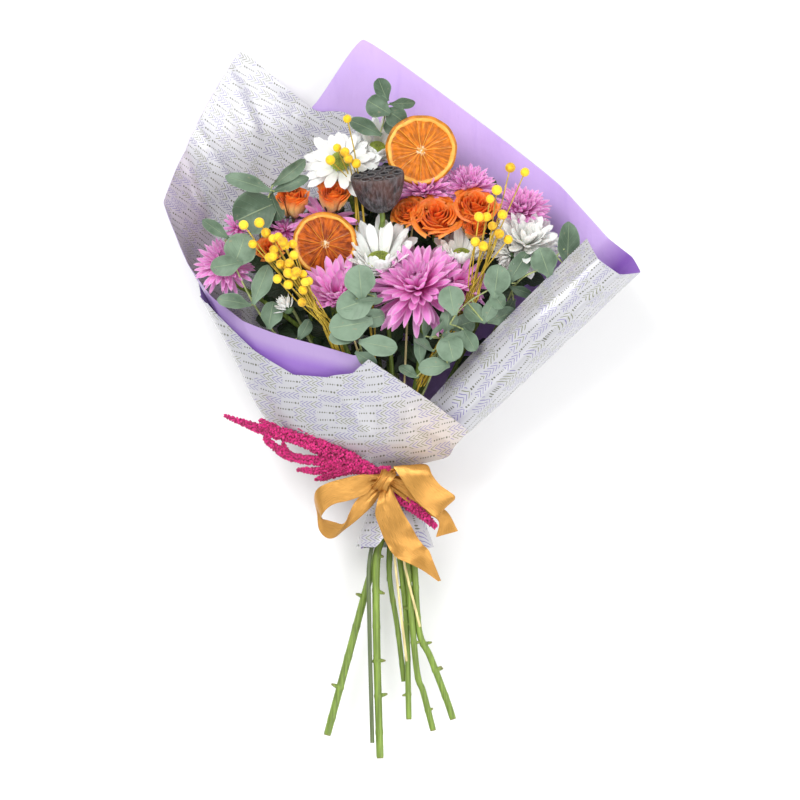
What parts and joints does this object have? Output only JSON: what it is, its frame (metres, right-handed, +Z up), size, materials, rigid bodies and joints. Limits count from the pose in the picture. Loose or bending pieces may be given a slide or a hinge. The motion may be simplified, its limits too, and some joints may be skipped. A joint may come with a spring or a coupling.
{
  "type": "flower bouquet",
  "caption": "Hand-tied bouquet of mixed flowers, dried fruit and foliage, wrapped in two sheets of paper and tied with a ribbon bow, lying on its back.",
  "frame": {"origin": "under the middle of the whole bouquet, on the plane that it lies on", "axes": "+Y from the cut stems to the flowers, +Z up, the way that the flowers face"},
  "size_m": [0.4267, 0.6496, 0.1481],
  "materials": {
    "paper_outer": "glossy, lilac toward the flowers",
    "paper_inner": "glossy, fine sprig pattern toward the flowers",
    "satin": "satin weave",
    "pink": "matt petals",
    "white": "matt petals",
    "lime": "matt",
    "orange_petal": "soft sheen",
    "dried_orange": "dry, slightly glossy",
    "pod_brown": "dry, matt",
    "eucalyptus": "waxy bloom",
    "yellow": "felted",
    "magenta": "matt",
    "stem_green": "satin",
    "straw": "dry, matt"
  },
  "bodies": {
    "root": {"paper_outer": "paper_outer", "paper_inner": "paper_inner", "ribbon_bow": "satin", "amaranthus": "magenta", "pink_bloom_1": "pink", "pink_bloom_2": "pink", "pink_bloom_3": "pink", "pink_bloom_4": "pink", "pink_bloom_5": "pink", "pink_bloom_6": "pink", "pink_bloom_7": "pink", "pink_bloom_8": "pink", "pink_bloom_9": "pink", "white_bloom_1": "white", "white_bloom_2": "white", "white_bloom_3": "white", "white_bloom_4": "white", "white_bloom_5": "white", "white_disc_1": "lime", "white_disc_2": "lime", "white_disc_3": "lime", "white_disc_4": "lime", "white_disc_5": "lime", "rose_1": "orange_petal", "rose_2": "orange_petal", "rose_3": "orange_petal", "rose_4": "orange_petal", "rose_5": "orange_petal", "rose_6": "orange_petal", "rose_7": "orange_petal", "orange_slice_1": "dried_orange", "orange_slice_2": "dried_orange", "stick_1": "straw", "stick_2": "straw", "lotus_pod": "pod_brown", "lotus_stem": "stem_green", "stem_pink_left": "stem_green", "stem_white_back": "stem_green", "stem_pink_right": "stem_green", "stem_rose_left": "stem_green", "stem_rose_right": "stem_green", "stem_pink_middle": "stem_green", "stem_white_middle": "stem_green", "stem_pink_front": "stem_green", "stem_white_right": "stem_green", "eucalyptus_1": "eucalyptus", "eucalyptus_2": "eucalyptus", "eucalyptus_3": "eucalyptus", "eucalyptus_4": "eucalyptus", "eucalyptus_5": "eucalyptus", "eucalyptus_6": "eucalyptus", "yellow_balls_left": "yellow", "yellow_balls_right": "yellow", "yellow_balls_top": "yellow", "straw_1": "straw", "straw_2": "straw", "straw_3": "straw"}
  },
  "joints": []
}
